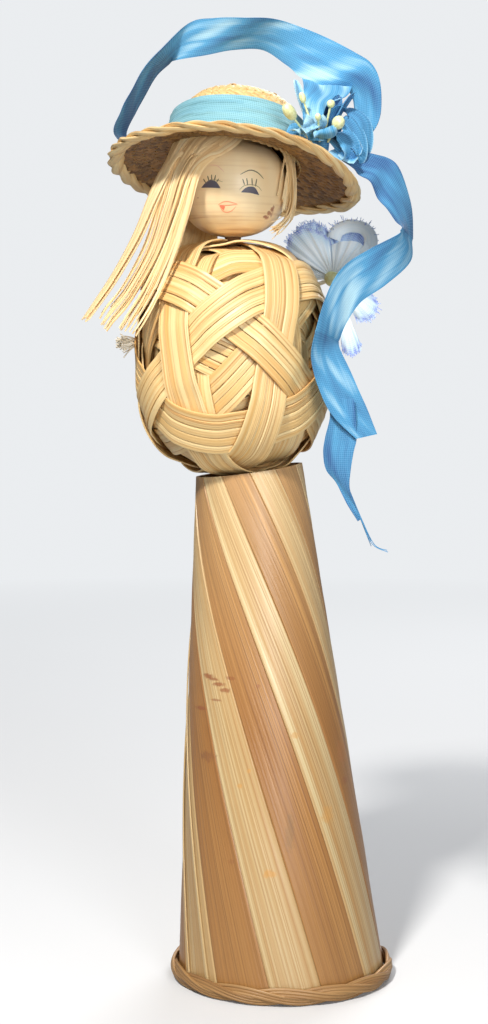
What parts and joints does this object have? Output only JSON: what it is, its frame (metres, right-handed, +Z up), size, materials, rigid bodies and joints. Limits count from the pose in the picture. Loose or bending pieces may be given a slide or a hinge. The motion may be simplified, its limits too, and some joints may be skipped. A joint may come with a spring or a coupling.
{
  "type": "wicker doll",
  "caption": "Free-standing doll with a twisted bamboo strip skirt, plaited ball bodice, turned wooden head, straw hair and a ribboned straw hat.",
  "frame": {"origin": "on the standing surface, under the middle of the doll's outline", "axes": "+Z up, -Y the way the face looks, +X towards the hanging ribbon's side"},
  "size_m": [0.0746, 0.0572, 0.2253],
  "materials": {
    "cream_strip": "satin split bamboo, cream",
    "brown_strip": "satin split bamboo, toasted brown",
    "bamboo": "satin bamboo splints",
    "cane": "satin flat cane",
    "skirt_backing": "matt thin veneer",
    "turned_wood": "waxed turned wood",
    "dowel_wood": "plain sanded wood",
    "straw": "braided straw",
    "hair": "flat straw strands",
    "blue_ribbon": "sheer blue ribbon",
    "band_ribbon": "sheer pale blue ribbon over straw",
    "satin": "pale blue satin",
    "bud": "pale yellow stamen buds",
    "string": "cotton string"
  },
  "bodies": {
    "figure": {"skirt_strip_brown_1": "brown_strip", "skirt_strip_cream_1": "cream_strip", "skirt_strip_brown_2": "brown_strip", "skirt_strip_cream_2": "cream_strip", "skirt_strip_brown_3": "brown_strip", "skirt_strip_cream_3": "cream_strip", "skirt_strip_brown_4": "brown_strip", "skirt_strip_cream_4": "cream_strip", "skirt_strip_brown_5": "brown_strip", "skirt_strip_cream_5": "cream_strip", "skirt_strip_brown_6": "brown_strip", "skirt_strip_cream_6": "cream_strip", "skirt_backing": "skirt_backing", "hem_hoop_outer": "cane", "hem_hoop_inner": "cane", "skirt_plug": "dowel_wood", "neck_dowel": "dowel_wood", "bodice_band_outer_1": "bamboo", "bodice_band_outer_2": "bamboo", "bodice_band_outer_3": "bamboo", "bodice_band_outer_4": "bamboo", "bodice_band_outer_5": "bamboo", "bodice_band_outer_6": "bamboo", "bodice_band_inner_1": "bamboo", "bodice_band_inner_2": "bamboo", "bodice_band_inner_3": "bamboo", "bodice_band_inner_4": "bamboo", "bodice_band_inner_5": "bamboo", "bodice_band_inner_6": "bamboo", "string_tuft": "string", "satin_flower_centre": "bud", "satin_petal_1": "satin", "satin_petal_2": "satin", "satin_petal_3": "satin", "satin_petal_4": "satin", "satin_petal_5": "satin", "satin_flower_wire": "string"},
    "head": {"head_bead": "turned_wood", "hair_wig": "hair", "hair_lock_outer": "hair", "hair_lock_middle": "hair", "hair_lock_inner": "hair", "hair_lock_far_side": "hair", "straw_hat": "straw", "hat_edge_coil": "straw", "hat_ribbon_band": "band_ribbon", "flower_knot": "blue_ribbon", "flower_petal_1": "blue_ribbon", "flower_petal_2": "blue_ribbon", "flower_petal_3": "blue_ribbon", "flower_petal_4": "blue_ribbon", "flower_petal_5": "blue_ribbon", "flower_stamen_1": "bud", "flower_stamen_2": "bud", "flower_stamen_3": "bud", "flower_stamen_4": "bud", "flower_stamen_5": "bud", "ribbon_arch": "blue_ribbon", "ribbon_tail": "blue_ribbon", "ribbon_strip": "blue_ribbon"}
  },
  "joints": [
    {"name": "head_turn", "type": "hinge", "parent": "figure", "child": "head", "pos_m": [-0.00379, -0.00118, 0.186], "axis": [0, 0, 1], "range_deg": [-30, 15]}
  ]
}
